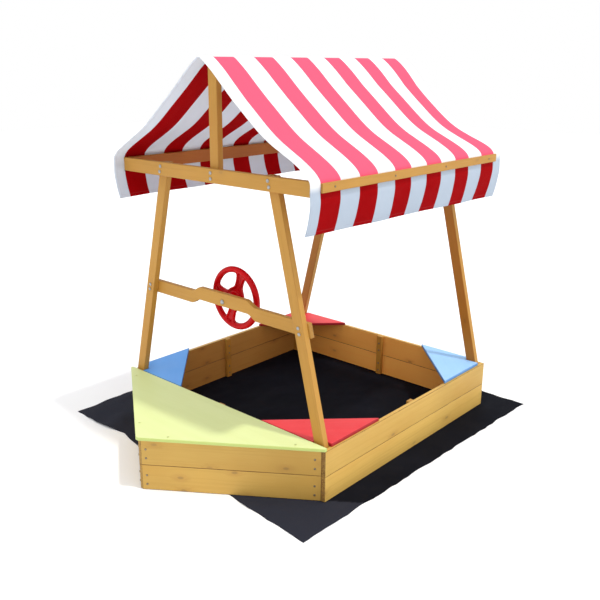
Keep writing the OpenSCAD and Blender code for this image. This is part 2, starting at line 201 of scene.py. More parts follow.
def woodStain(name, stain):
    f = Finish(name)
    grain = f.attribute("grain", "Vector")
    edge = f.attribute("edge")
    tone = f.attribute("tone")
    inner = f.attribute("inner")
    light = f.attribute("light")
    knot = f.add("ShaderNodeTexVoronoi", {"feature": "F1", "voronoi_dimensions": "2D"},
                 {"Vector": f.scaled(grain, (5.2, 10.5, 1.0)), "Scale": 1.0})
    there = f.soften(f.add("ShaderNodeSeparateColor", {}, {0: knot.part("Color")}), 0.36, 0.46)
    core = f.soften(knot, 0.03, 0.075, 1.0, 0.0) * there
    halo = f.soften(knot, 0.05, 0.24, 1.0, 0.0) * there
    sway = (f.cloud(f.scaled(grain, (2.0, 9.0, 9.0)), 1.0, 2.0) - 0.5) * 0.022 + halo * 0.011
    bent = f.add("ShaderNodeVectorMath", {"operation": "ADD"},
                 {0: grain, 1: f.add("ShaderNodeCombineXYZ", {}, {1: sway, 2: sway * 0.6})})
    rings = f.cloud(f.scaled(bent, (0.7, 105.0, 105.0)), 1.0, 2.5, 0.6)
    lateWood = f.soften(rings, 0.5, 0.66)
    fibres = f.cloud(f.scaled(bent, (9.0, 620.0, 620.0)), 1.0, 4.0, 0.65)
    broad = f.cloud(f.scaled(grain, (2.6, 6.0, 6.0)), 1.0, 3.0)
    colour = f.mix(lateWood * 0.24 + f.soften(fibres, 0.42, 0.78) * 0.3, stain["light"], stain["dark"])
    colour = f.mix(f.soften(broad, 0.42, 0.72) * 0.7 + tone * 0.35, colour, stain["warm"])
    ends = f.soften(f.cloud(f.scaled(grain, (30.0, 260.0, 260.0)), 1.0, 3.0), 0.35, 0.65, 0.5, 0.85)
    colour = f.mix(edge * ends, colour, rgb(0.10, 0.03, 0.007))
    colour = f.mix(halo * 0.28 * stain["knots"], colour, rgb(0.42, 0.2, 0.045))
    colour = f.mix(core * 0.42 * stain["knots"], colour, rgb(0.20, 0.12, 0.045))
    # faces turned into the box: painted shade, the colour multiplied by the stain's inner column
    colour = f.mix(inner, colour, stain["inner"], "MULTIPLY")
    # the cloud gives the boards' own uneven tone; the light attribute multiplies in each board's painted
    # light and shade
    shade = f.soften(f.cloud(f.objectPlace(), 3.1, 3.0), 0.3, 0.7, 0.94, 1.04) * light
    grey = f.add("ShaderNodeCombineColor", {}, {0: shade, 1: shade, 2: shade})
    colour = f.mix(1.0, colour, grey, "MULTIPLY")
    rough = f.soften(fibres, 0.3, 0.7, 0.46, 0.62) - core * 0.1
    relief = fibres * 0.55 + rings * 0.35 - core * 0.3
    return f.surface({"IOR": 1.45, "Specular IOR Level": 0.45},
                     {"Base Color": colour, "Roughness": rough}, relief, 0.0005)


# ---- painted boards ----
paintKeys = ("slot", "face", "worn", "edge", "scuff")
paintRows = {
    "limePaint": ("lime_paint", rgb(0.72, 0.80, 0.365), rgb(0.655, 0.73, 0.30), rgb(0.50, 0.60, 0.16),
                  rgb(0.86, 0.88, 0.6)),
    "bluePaint": ("blue_paint", rgb(0.13, 0.40, 0.90), rgb(0.10, 0.34, 0.82), rgb(0.03, 0.11, 0.32),
                  rgb(0.3, 0.5, 0.82)),
    "lightBluePaint": ("light_blue_paint", rgb(0.35, 0.62, 0.97), rgb(0.29, 0.55, 0.93),
                       rgb(0.045, 0.17, 0.46), rgb(0.4, 0.62, 0.9)),
    "redPaint": ("red_paint", rgb(0.75, 0.05, 0.058), rgb(0.66, 0.028, 0.036), rgb(0.27, 0.006, 0.013),
                 rgb(0.80, 0.17, 0.2)),
}
paints = {name: {**dict(zip(paintKeys, row)), "seam": 0.7, "ends": 1.0} for name, row in paintRows.items()}


def boardPaint(name, paint):
    f = Finish(name)
    grain = f.attribute("grain", "Vector")
    edge = f.attribute("edge")
    fibres = f.cloud(f.scaled(grain, (5.0, 260.0, 260.0)), 1.0, 4.0, 0.6)
    brushed = f.cloud(f.scaled(grain, (2.5, 38.0, 38.0)), 1.0, 3.0)
    patches = f.cloud(f.objectPlace(), 9.0, 4.0, 0.6)
    scratch = f.cloud(f.scaled(f.objectPlace(), (40.0, 70.0, 30.0), (0.3, 0.1, 0.0)), 1.0, 5.0, 0.7)
    wear = f.soften(brushed, 0.35, 0.7) * 0.3 + f.soften(fibres, 0.5, 0.8) * 0.2
    scuffed = f.soften(scratch, 0.6, 0.74) * f.soften(patches, 0.45, 0.65) * 0.35
    colour = f.mix(scuffed, f.mix(wear, paint["face"], paint["worn"]), paint["scuff"])
    # ends, eased seams and side faces take the darker edge colour: paint soaked into the cut edges, and on
    # the upright side faces also painted shade
    colour = f.mix(edge * 0.8, colour, paint["edge"])
    rough = f.soften(patches, 0.3, 0.7, 0.36, 0.52)
    return f.surface({"IOR": 1.46, "Specular IOR Level": 0.25}, {"Base Color": colour, "Roughness": rough},
                     fibres * 0.7 + brushed * 0.3, 0.00025)


finishes = {name: woodStain(name, stain) for name, stain in stains.items()}
finishes.update({name: boardPaint(name, paint) for name, paint in paints.items()})
print("stains and paints mixed")


# ---- timber pieces ----
def rectangle(x0, x1, y0, y1):
    return [(x0, y0), (x1, y0), (x1, y1), (x0, y1)]


def flipped(outline):
    return [(-x, y) for x, y in reversed(outline)]


def raiseBoard(body, outline, way, low, high):
    # way "z" lifts an outline drawn from above, way "y" lengthens one drawn from the front
    def place(point, level):
        return Vector((point[0], point[1], level) if way == "z" else (point[0], level, point[1]))
    base = body.faces.new([body.verts.new(place(point, low)) for point in outline])
    grown = bmesh.ops.extrude_face_region(body, geom=[base])
    fresh = [v for v in grown["geom"] if isinstance(v, bmesh.types.BMVert)]
    bmesh.ops.translate(body, verts=fresh, vec=place((0, 0), high) - place((0, 0), low))


boardCount = [0]


def makeBoards(node, boards, finish, along, ease=0.0012, sides=0.0):
    # boards: (outline, way, low, high); along: direction of the grain; sides: how much the upright side faces
    # take the darker edge colour, partly paint soaked into the cut edges and partly painted shade on the
    # upright faces
    body = bmesh.new()
    for outline, way, low, high in boards:
        raiseBoard(body, outline, way, low, high)
    bmesh.ops.recalc_face_normals(body, faces=body.faces)
    bevelled = bmesh.ops.bevel(body, geom=list(body.edges), affect="EDGES", offset=ease,
                               offset_type="OFFSET", segments=2, profile=0.5, material=-1,
                               clamp_overlap=True)
    body.faces.index_update()
    eased = {face.index for face in bevelled["faces"] if face.is_valid}
    mesh = bpy.data.meshes.new(node + "Board")
    along = Vector(along).normalized()
    spread = Vector((0, 0, 1)) if abs(along.z) < 0.7 else Vector((1, 0, 0))
    across = (spread - along * spread.dot(along)).normalized()
    through = along.cross(across)
    boardCount[0] += 1
    shift = Vector((boardCount[0] * 1.37 % 5, boardCount[0] * 0.613 % 3, boardCount[0] * 0.291 % 2))
    look = {**stains, **paints}[finish]
    edges, inners, lights = [], [], []
    for face in body.faces:
        upright = abs(face.normal.z) < 0.5
        if abs(face.normal.dot(along)) > 0.75:
            edges.append(look["ends"])
        elif face.index in eased:
            edges.append(look["seam"])
        else:
            # upright side faces take the sides share: partly painted shade
            edges.append(sides if upright else 0.0)
        centre = face.calc_center_median()
        # faces turned into the box are marked inner, where the stain's inner column paints shade
        inward = face.normal.x * centre.x + face.normal.y * centre.y < 0 and upright
        inward = inward and (finish != "stainedPost" or abs(face.normal.y) > 0.7)
        inners.append(1.0 if inward else 0.0)
        # each face's painted light and shade multiplier, from the board's outer or inner entry
        lights.append(paintedLightByBoard.get(node, (1.0, 1.0))[inward])
    body.to_mesh(mesh)
    body.free()
    kinds = {"grain": ("FLOAT_VECTOR", "POINT"), "tone": ("FLOAT", "POINT"), "edge": ("FLOAT", "FACE"),
             "inner": ("FLOAT", "FACE"), "light": ("FLOAT", "FACE")}
    for name, (kind, domain) in kinds.items():
        mesh.attributes.new(name, kind, domain)
    coords, tones, darks, shades, brights = (mesh.attributes[name].data for name in kinds)
    tone = (boardCount[0] * 0.37) % 1.0
    for vertex in mesh.vertices:
        turned = Vector((vertex.co.dot(along), vertex.co.dot(across), vertex.co.dot(through)))
        coords[vertex.index].vector = turned + shift
        tones[vertex.index].value = tone
    for index, (dark, shade, bright) in enumerate(zip(edges, inners, lights)):
        darks[index].value = dark
        shades[index].value = shade
        brights[index].value = bright
    for polygon in mesh.polygons:
        polygon.use_smooth = polygon.index in eased
    piece = bpy.data.objects.new(node + "_timber", mesh)
    scene.collection.objects.link(piece)
    mesh.materials.append(finishes[finish])
    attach(piece, "frame")
    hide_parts(node)


def plainBoard(node, finish, along, ease=0.0012):
    low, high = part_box(node)
    makeBoards(node, [(rectangle(low.x, high.x, low.y, high.y), "z", low.z, high.z)], finish, along, ease)


for side, along in (("left", (0, 1, 0)), ("right", (0, 1, 0)), ("front", (1, 0, 0)), ("rear", (1, 0, 0))):
    for level in ("lower", "upper"):
        plainBoard("wall_%s_%s" % (side, level), "stainedPlank", along, 0.0016)
for side in ("left", "right", "front", "rear"):
    plainBoard("batten_" + side, "stainedBatten", (0, 0, 1), 0.0018)

bow = {"noseFlat": 0.004, "endX": innerX - box["plank"] * bowLong / box["bow"],
       "innerY": noseY + box["plank"] * bowLong / innerX}
bowOutline = [(innerX, -box["halfLong"]), (bow["endX"], -box["halfLong"]), (0, bow["innerY"]),
              (0, noseY + bow["noseFlat"]), (bow["noseFlat"] * innerX / box["bow"], noseY + bow["noseFlat"])]
for level, name in enumerate(("lower", "upper")):
    low = box["base"] + level * box["plankTall"]
    for side, outline, way in (("right", bowOutline, 1), ("left", flipped(bowOutline), -1)):
        makeBoards("bow_%s_%s" % (side, name), [(outline, "z", low, low + box["plankTall"])],
                   "stainedBow", (way * innerX, box["bow"], 0), 0.0016)

hidden = {"block": 0.022, "noseDeep": 0.036, "noseDrop": 0.004,
          "cleat": 0.02, "cleatTall": 0.044, "cleatGap": 0.003}
noseHalf = hidden["noseDeep"] * innerX / box["bow"]
noseBack = bow["innerY"] + hidden["noseDeep"]
makeBoards("nose_block", [([(0, bow["innerY"]), (noseHalf, noseBack), (-noseHalf, noseBack)], "z",
                           box["base"], wallTop - hidden["noseDrop"])], "stainedBatten", (0, 0, 1), 0.0006)
blocks, cleats = [], []
for sx, sy in [(sx, sy) for sx in (-1, 1) for sy in (-1, 1)]:
    x, y = sx * (innerX - hidden["block"] / 2), sy * (boardY - hidden["block"] / 2)
    half = hidden["block"] / 2
    blocks.append((rectangle(x - half, x + half, y - half, y + half), "z", box["base"], wallTop))
    half = hidden["cleat"] / 2
    x, y = sx * (roof["beamLong"] / 2 - roof["beamThick"] - half), sy * (innerY - half)
    low = roof["beamTop"] - roof["beamTall"] + hidden["cleatGap"]
    cleats.append((rectangle(x - half, x + half, y - half, y + half), "z", low, low + hidden["cleatTall"]))
makeBoards("corner_blocks", blocks, "stainedBatten", (0, 0, 1))
makeBoards("rail_cleats", cleats, "stainedBatten", (0, 0, 1))

# bow lid and corner seats
seats = {"thick": 0.012, "leg": 0.3, "outer": 0.518, "wall": 0.523, "gap": 0.0005, "lap": 0.002,
         "lidOver": 0.006, "lidBack": 0.008}
seatTop = wallTop + seats["thick"]
lidBack, lidSide = -box["halfLong"] + seats["lidBack"], -box["halfLong"] - seats["lap"]
lidOutline = [(-box["halfWide"], lidBack), (-box["halfWide"], lidSide),
              (-seats["lidOver"], noseY - seats["lidOver"]), (seats["lidOver"], noseY - seats["lidOver"]),
              (box["halfWide"], lidSide), (box["halfWide"], lidBack)]
makeBoards("bow_lid", [(lidOutline, "z", wallTop, seatTop)], "limePaint", (1, 0, 0), 0.0016, 1.0)
notch = postX(seatTop) - postHalf - seats["gap"]
seatOutline = [(seats["outer"] - seats["leg"], seats["wall"]), (notch, seats["wall"]),
               (notch, boardY - seats["lap"]), (seats["outer"], boardY - seats["lap"]),
               (seats["outer"], seats["wall"] - seats["leg"])]
for name, sx, sy, finish in (("front_left", -1, -1, "bluePaint"), ("front_right", 1, -1, "redPaint"),
                             ("rear_left", -1, 1, "redPaint"), ("rear_right", 1, 1, "lightBluePaint")):
    outline = [(sx * x, sy * y) for x, y in seatOutline]
    makeBoards("seat_" + name, [(outline, "z", wallTop, seatTop)], finish, (sx, -sy, 0), 0.0018, 1.0)

# leaning posts, crossbeams, king posts, ridge and rails
footZ = 0.03
footSide = beamMid - (innerX - postHalf - roof["head"]) / roof["lean"]
postOutline = [(postX(footZ) - postHalf, footZ), (innerX, footZ), (innerX, footSide),
               (postX(roof["beamTop"]) + postHalf, roof["beamTop"]),
               (postX(roof["beamTop"]) - postHalf, roof["beamTop"])]
king = {"half": roof["post"] / 2, "foot": roof["beamTop"] - roof["beamTall"], "top": roof["ridge"] - 0.008,
        "slope": 0.84}
shoulder = king["top"] - king["half"] * king["slope"]
kingOutline = [(-king["half"], king["foot"]), (king["half"], king["foot"]), (king["half"], shoulder),
               (0, king["top"]), (-king["half"], shoulder)]
for name, sy in (("front", -1), ("rear", 1)):
    near, far = sorted((sy * boardY, sy * innerY))
    for side, outline, way in (("right", postOutline, -1), ("left", flipped(postOutline), 1)):
        makeBoards("post_%s_%s" % (name, side), [(outline, "y", near, far)], "stainedPost",
                   (way * roof["lean"], 0, 1), 0.0022)
    makeBoards("king_post_" + name, [(kingOutline, "y", near, far)], "stainedPost", (0, 0, 1), 0.0022)
    plainBoard("crossbeam_" + name, "stainedPost", (1, 0, 0), 0.002)
plainBoard("ridge_beam", "stainedRailPaintedShade", (0, 1, 0), 0.0016)
for side in ("left", "right"):
    plainBoard("eave_rail_" + side, "stainedRailPaintedShade", (0, 1, 0), 0.0015)
    plainBoard("clamp_batten_" + side, "stainedPost", (0, 1, 0), 0.0018)

# wheel board with a raised middle
board = {"mid": 0.575, "half": 0.025, "raise": 0.02, "over": 0.006, "steps": 10, "slopeLong": 0.048,
         "topFrom": 0.118, "lowFrom": 0.124}


def easeStep(share):
    return (1 - math.cos(math.pi * share)) / 2


def boardSlope(start, height):
    shares = [step / board["steps"] for step in range(board["steps"] + 1)]
    return [(start + board["slopeLong"] * share, height + board["raise"] * (1 - easeStep(share)))
            for share in shares]


boardTop, boardLow = board["mid"] + board["half"], board["mid"] - board["half"]
halfOutline = boardSlope(board["topFrom"], boardTop)
halfOutline += [(postX(height) + postHalf + board["over"], height) for height in (boardTop, boardLow)]
halfOutline += boardSlope(board["lowFrom"], boardLow)[::-1]
makeBoards("wheel_board", [(halfOutline + flipped(halfOutline), "y", -boardY, -boardY + roof["beamThick"])],
           "stainedPost", (1, 0, 0), 0.002)
print("timber cut and eased:", boardCount[0], "pieces")


# ---- ground sheet ----
ground = {
    "front": [(-0.698, -0.701), (-0.547, -0.710), (-0.391, -0.691), (-0.271, -0.717), (0.040, -0.713),
              (0.264, -0.723), (0.620, -0.751)],
    "right": [(0.620, -0.751), (0.637, -0.203), (0.665, 0.656)],
    "rear": [(-0.690, 0.640), (-0.018, 0.670), (0.665, 0.656)],
    "left": [(-0.698, -0.701), (-0.703, 0.0), (-0.690, 0.640)],
    "thick": 0.0006, "rows": 150, "rise": 0.0085, "inside": 0.003, "low": 0.0004, "high": 0.0085,
    "flat": (1.36, 1.4), "area": 1.87}


def alongLine(points, share):
    steps = [math.dist(a, b) for a, b in zip(points, points[1:])]
    reach = share * sum(steps)
    for (a, b), step in zip(zip(points, points[1:]), steps):
        if reach <= step + 1e-9:
            return Vector(a).lerp(Vector(b), min(1, reach / step))
        reach -= step
    return Vector(points[-1])


def sheetSpot(u, v):
    front, rear = alongLine(ground["front"], u), alongLine(ground["rear"], u)
    left, right = alongLine(ground["left"], v), alongLine(ground["right"], v)
    fourCorners = (Vector(ground["front"][0]) * (1 - u) * (1 - v) + Vector(ground["front"][-1]) * u * (1 - v)
                   + Vector(ground["rear"][0]) * (1 - u) * v + Vector(ground["rear"][-1]) * u * v)
    return front * (1 - v) + rear * v + left * (1 - u) + right * u - fourCorners


def clearOfWalls(x, y):
    # distance from the walls' and bow's footprint, negative inside it
    outside = max(abs(x) - box["halfWide"], abs(y) - box["halfLong"])
    bowSide = (abs(x) * box["bow"] - (y - noseY) * innerX) / bowLong
    outside = min(outside, max(bowSide, y + box["halfLong"]))
    inside = min(innerX - abs(x), innerY - abs(y))
    return max(outside, inside)


def makeGroundSheet():
    body = bmesh.new()
    rows = ground["rows"]
    bmesh.ops.create_grid(body, x_segments=rows, y_segments=rows, size=0.5)
    flow = body.loops.layers.uv.new("weave")
    paintedLightOutside = body.verts.layers.float.new("paintedLightOutside")
    for vertex in body.verts:
        u, v = vertex.co.x + 0.5, vertex.co.y + 0.5
        spot = sheetSpot(u, v)
        rim = min(u, v, 1 - u, 1 - v)
        near = max(0.0, 1 - rim * 11)
        wobble = (noise.noise(Vector((u * 9, v * 9, 3.1))) * 0.006
                  + abs(noise.noise(Vector((u * 17, v * 17, 8.4)))) * 0.009) * near
        x, y = spot.x - math.copysign(abs(wobble), spot.x), spot.y + (wobble if v < 0.5 else -abs(wobble))
        room = clearOfWalls(x, y)
        lift = min(1.0, max(0.0, (room - 0.006) / 0.05))
        pastBox = max(abs(x) - box["halfWide"], abs(y) - box["halfLong"]) > 0
        outer = pastBox and not abs(x) < innerX * 0.98 * (y - noseY) / box["bow"]
        wave = noise.noise(Vector((x * 7.5, y * 5.0, 0.4))) + 0.6 * noise.noise(Vector((x * 19, y * 16, 7.7)))
        fold = max(0.0, wave + 0.12) ** 1.3
        height = (ground["rise"] if outer else ground["inside"]) * fold * lift * lift
        vertex.co = Vector((x, y, min(ground["high"], ground["low"] + height)))
        # outside the box the sheet is marked for painted light; inside it keeps the painted shade
        vertex[paintedLightOutside] = 1.0 if outer else 0.0
    for face in body.faces:
        for loop in face.loops:
            loop[flow].uv = (loop.vert.co.x, loop.vert.co.y)
        face.smooth = True
    mesh = bpy.data.meshes.new("groundCloth")
    body.to_mesh(mesh)
    body.free()
    piece = bpy.data.objects.new("ground_cloth", mesh)
    scene.collection.objects.link(piece)
    thick = piece.modifiers.new("thickness", "SOLIDIFY")
    thick.thickness = ground["thick"]
    thick.offset = 0.0
    return piece


def weedCloth():
    f = Finish("weedCloth")
    spot = f.add("ShaderNodeUVMap", {"uv_map": "weave"})
    tapeAcross, tapeAlong = (f.bands(spot, way, 210.0, 0.4, 1.0) for way in ("X", "Y"))
    felt = f.cloud(spot, 900.0, 3.0, 0.7)
    creases = f.cloud(f.scaled(spot, (7.0, 4.0, 1.0)), 1.0, 4.0, 0.55)
    dust = f.soften(f.cloud(spot, 5.0, 4.0), 0.4, 0.75)
    colour = f.mix(f.soften(felt, 0.3, 0.7) * 0.6, rgb(0.0095, 0.0105, 0.0155), rgb(0.017, 0.018, 0.027))
    colour = f.mix(dust * 0.35, colour, rgb(0.026, 0.028, 0.042))
    # painted shade over the whole sheet, then outside the box painted lighter again, a painted light where
    # the sheet lies open
    shaded = f.mix(0.5, colour, rgb(0.0015, 0.0017, 0.0025))
    colour = f.mix(f.attribute("paintedLightOutside") * 0.6, shaded, rgb(0.040, 0.042, 0.058))
    rough = f.soften(creases, 0.35, 0.65, 0.62, 0.8)
    relief = tapeAcross * 0.25 + tapeAlong * 0.25 + felt * 0.5
    return f.surface({"IOR": 1.45, "Specular IOR Level": 0.03},
                     {"Base Color": colour, "Roughness": rough}, relief, 0.0004)


groundSheet = makeGroundSheet()
groundSheet.data.materials.append(weedCloth())
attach(groundSheet, "frame")
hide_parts("ground_sheet")
print("ground sheet laid")


# ---- canopy ----
canopy = {
    "eave": 0.491, "long": 1.176, "thick": 0.0014, "skew": (0.008, 0.012, 0.0), "skewAt": 0.521,
    "stripe": 0.096, "border": (0.048, 0.062, 0.046), "pitch": (1.0, 0.987, 1.016),
    "longer": {-1: (-0.011, -0.006), 1: (0.0, 0.016)}, "slack": 0.028,
    "slope": [(0.13, 0.882), (0.24, 0.76), (0.4, 0.587), (0.558, 0.413), (0.66, 0.317), (0.765, 0.237),
              (0.86, 0.165), (0.935, 0.1), (0.978, 0.05), (1, 0.003), (1, 0.001 - 0.03 / 0.363)],
    "hem": [(0.0015, 0.36), (-0.002, 0.53), (-0.011, 0.78), (-0.023, 1)],
    "acrossSteps": 150, "alongSteps": 170, "hemFold": 0.014, "stitchIn": 0.012,
    "screws": (-0.48, -0.16, 0.16, 0.48)}
rise = roof["ridge"] - roof["beamTop"]
halfLine = [(0.0, roof["ridge"]), (0.01424, roof["ridge"] - 0.00581)]
halfLine += [(x * canopy["eave"], roof["beamTop"] + z * rise) for x, z in canopy["slope"]]
halfLine += [(canopy["eave"] + x, roof["beamTop"] - z * roof["valance"]) for x, z in canopy["hem"]]


def within(value):
    return max(0.0, min(1.0, value))


def smoothLine(points, count):
    # a smooth line through the points, then spaced evenly by its length
    dense = []
    for index in range(len(points) - 1):
        p0 = Vector(points[max(index - 1, 0)])
        p1, p2 = Vector(points[index]), Vector(points[index + 1])
        p3 = Vector(points[min(index + 2, len(points) - 1)])
        for step in range(16):
            t = step / 16
            dense.append(0.5 * (2 * p1 + (p2 - p0) * t + (2 * p0 - 5 * p1 + 4 * p2 - p3) * t * t
                                + (3 * p1 - p0 - 3 * p2 + p3) * t ** 3))
    dense.append(Vector(points[-1]))
    reach = [0.0]
    for a, b in zip(dense, dense[1:]):
        reach.append(reach[-1] + (b - a).length)
    spaced, at = [], 0
    for step in range(count + 1):
        goal = reach[-1] * step / count
        while at < len(reach) - 2 and reach[at + 1] < goal:
            at += 1
        share = (goal - reach[at]) / max(1e-9, reach[at + 1] - reach[at])
        spaced.append(dense[at].lerp(dense[at + 1], share))
    return spaced, reach[-1]


profile, halfSpan = smoothLine(halfLine, canopy["acrossSteps"])


def sideways(triple, x):
    # from the left rail over the ridge to the right rail
    left, middle, right = triple
    side = left if x < 0 else right
    return middle + (side - middle) * min(1.0, abs(x) / canopy["skewAt"])


def makeCanopy():
    body = bmesh.new()
    across, along = 2 * canopy["acrossSteps"], canopy["alongSteps"]
    bmesh.ops.create_grid(body, x_segments=across, y_segments=along, size=0.5)
    flow = body.loops.layers.uv.new("cloth")
    paintedSheen = body.verts.layers.float.new("slope")
    striping = body.loops.layers.uv.new("stripes")
    flat, stripes = {}, {}
    for vertex in body.verts:
        s, t = vertex.co.x * 2, vertex.co.y + 0.5
        step = min(canopy["acrossSteps"], round(abs(s) * canopy["acrossSteps"]))
        spot, ahead = profile[step], profile[min(step + 1, len(profile) - 1)]
        behind = profile[max(step - 1, 0)]
        side = -1.0 if s < 0 else 1.0
        x, z = spot.x * side, spot.y
        lean = (ahead - behind).normalized()
        outward = Vector((-lean.y * side, 0, lean.x))
        if outward.z < 0 and spot.y > roof["beamTop"]:
            outward = -outward
        y = -canopy["long"] / 2 + canopy["long"] * t + sideways(canopy["skew"], x)
        u, v = t * canopy["long"], abs(s) * halfSpan
        flat[vertex] = (u, s * halfSpan)
        pitch = canopy["stripe"] * sideways(canopy["pitch"], x)
        stripes[vertex] = ((u - sideways(canopy["border"], x)) / pitch, s)
        drop = max(0.0, (roof["beamTop"] - 0.036 - z) / 0.115)
        sag = within((abs(x) - 0.05) / 0.12) * within((z - roof["beamTop"] - 0.004) / 0.07)
        ends = abs(t - 0.5) * 2
        swell = (noise.noise(Vector((u * 3.1, side * v * 2.2, 5.0 + side))) * 0.0035
                 + noise.noise(Vector((u * 7.5, side * v * 4.5, 1.0))) * 0.0013)
        pull = 0.0
        for screw in canopy["screws"]:
            near = (y - screw) / 0.05
            pull += math.exp(-near * near)
        near = (z - roof["beamTop"]) / 0.07
        pucker = (pull - 0.5) * 0.0022 * math.exp(-near * near) * sag
        lift = (swell * (1 + 0.8 * ends * ends) - pucker) * sag - 0.004 * ends ** 6 * sag
        beat = u * 15.5 + side * 1.1 + 1.6 * noise.noise(Vector((u * 2.3, side * 4.0, 0)))
        folds = (math.sin(beat) * 0.0034
                 + noise.noise(Vector((u * 8.0, side * 9.0, z * 5))) * 0.004) * min(1.0, drop) ** 1.2
        lower = noise.noise(Vector((u * 4.2, side * 3.3, 2.0))) * 0.0022 * min(1.0, drop)
        start, growth = canopy["longer"][side]
        lower -= (start + growth * t) * min(1.0, drop)
        # the cloth hangs slacker towards the back
        belly = math.sin(math.pi * min(1.0, abs(x) / 0.48)) * within((abs(x) - 0.03) / 0.09)
        lower -= canopy["slack"] * t ** 1.7 * belly
        vertex.co = Vector((x, y, z)) + outward * lift + Vector((side * folds, 0, lower))
        # 1 on the slopes above the beams, 0 down the valance: where the painted highlight and sheen go
        vertex[paintedSheen] = within((z - roof["beamTop"] + 0.028) / 0.02)
    for face in body.faces:
        for loop in face.loops:
            loop[flow].uv = flat[loop.vert]
            loop[striping].uv = stripes[loop.vert]
        face.smooth = True
    bmesh.ops.recalc_face_normals(body, faces=body.faces)
    if sum(face.normal.z for face in body.faces) < 0:
        bmesh.ops.reverse_faces(body, faces=body.faces)
    mesh = bpy.data.meshes.new("canopyCloth")
    body.to_mesh(mesh)
    body.free()
    piece = bpy.data.objects.new("canopy_cloth", mesh)
    scene.collection.objects.link(piece)
    hem = piece.vertex_groups.new(name="hem")
    for vertex in mesh.vertices:
        hem.add([vertex.index], 0.6, "REPLACE")
    thick = piece.modifiers.new("thickness", "SOLIDIFY")
    thick.thickness = canopy["thick"]
    thick.offset = 0.0
    thick.vertex_group = "hem"
    thick.material_offset = 1
    return piece, hem


def stripedCloth(name, red, deepRed, pale, slopeRed, slopePale):
    f = Finish(name)
    spot = f.add("ShaderNodeUVMap", {"uv_map": "cloth"})
    parts = f.add("ShaderNodeSeparateXYZ", {}, {0: spot})
    length, across = parts.part("X"), parts.part("Y")
    slope = f.attribute("slope")
    warp, weft = (f.bands(spot, way, 330.0, 0.3, 0.0) for way in ("X", "Y"))
    slubs = f.cloud(f.scaled(spot, (900.0, 60.0, 1.0)), 1.0, 3.0, 0.6)
    weave = warp * 0.5 + weft * 0.5
    striping = f.add("ShaderNodeUVMap", {"uv_map": "stripes"})
    count = f.add("ShaderNodeSeparateXYZ", {}, {0: striping}).part("X")
    beat = f.add("ShaderNodeMath", {"operation": "FRACT"}, {0: count / 2})
    ragged = (slubs - 0.5) * 0.004
    inRed = f.soften(beat + ragged, 0.4965, 0.5035, 1.0, 0.0) * f.soften(beat + ragged, -0.001, 0.0055)
    halfLong = canopy["long"] / 2
    stitches = [f.soften(f.size(f.size(place) - (half - canopy["stitchIn"])), 0.0006, 0.0014, 1.0, 0.0)
                for place, half in ((across, halfSpan), (length - halfLong, halfLong))]
    stitched = stitches[0] + stitches[1]
    worn = f.soften(f.cloud(spot, 6.0, 4.0, 0.6), 0.35, 0.7)
    redOne = f.mix(weave * 0.4 + worn * 0.35, red, deepRed)
    # on the slopes the red and white change to the slope colours: on the outer face a painted highlight and
    # sheen, pinker and brighter
    redOne = f.mix(slope, redOne, slopeRed)
    dulled = rgb(pale[0] * 0.9, pale[1] * 0.91, pale[2] * 0.93)
    whiteOne = f.mix(slope, f.mix(worn * 0.3 + weave * 0.25, pale, dulled), slopePale)
    colour = f.mix(inRed, whiteOne, redOne)
    colour = f.mix(stitched * 0.1, colour, rgb(0.3, 0.22, 0.22))
    rough = f.soften(worn, 0.0, 1.0, 0.68, 0.82)
    relief = weave * 0.7 + slubs * 0.3 - stitched * 0.9
    return f.surface({"IOR": 1.45, "Specular IOR Level": 0.02},
                     {"Base Color": colour, "Roughness": rough}, relief, 0.00035)


cloth, hemGroup = makeCanopy()
# on the outer face the slopes take a pinker red and a brighter white, a painted highlight and sheen where sun
# and sky fall on the top
clothColours = {
    "stripedClothOuter": (rgb(0.37, 0.003, 0.005), rgb(0.29, 0.002, 0.003), rgb(0.50, 0.575, 0.675),
                          rgb(0.96, 0.115, 0.20), rgb(0.9, 0.91, 0.93)),
    "stripedClothInner": (rgb(0.37, 0.0015, 0.003), rgb(0.30, 0.001, 0.002), rgb(0.70, 0.76, 0.86),
                          rgb(0.37, 0.0015, 0.003), rgb(0.80, 0.86, 0.97))}
for name, colours in clothColours.items():
    cloth.data.materials.append(stripedCloth(name, *colours))
uvLayer = cloth.data.uv_layers["cloth"].data
edgeVertices = set()
for loop in cloth.data.loops:
    u, v = uvLayer[loop.index].uv
    if min(u, canopy["long"] - u) < canopy["hemFold"] or halfSpan - abs(v) < canopy["hemFold"]:
        edgeVertices.add(loop.vertex_index)
hemGroup.add(sorted(edgeVertices), 1.0, "REPLACE")
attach(cloth, "frame")
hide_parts("canopy")
2 * halfSpan
print("canopy hung, cut", round(2 * halfSpan, 3), "by", canopy["long"])


# ---- steering wheel ----
wheel = {"place": Vector((0, -0.425, 0.588)), "radius": 0.1085, "rim": 0.0115, "web": 0.0034,
         "rib": 0.0043, "hub": 0.030, "hubBack": 0.011, "stem": 0.0473, "plate": 0.042,
         "spokes": (71, 172, 250), "voxel": 0.0016, "smooth": 7, "windowFrom": 0.040,
         "bore": 0.00406, "pocket": 0.014, "pocketEnd": 0.001, "reach": 0.02}


def spokeHalf(radius):
    return 0.011 + 0.009 * ((radius - 0.062) / 0.044) ** 2


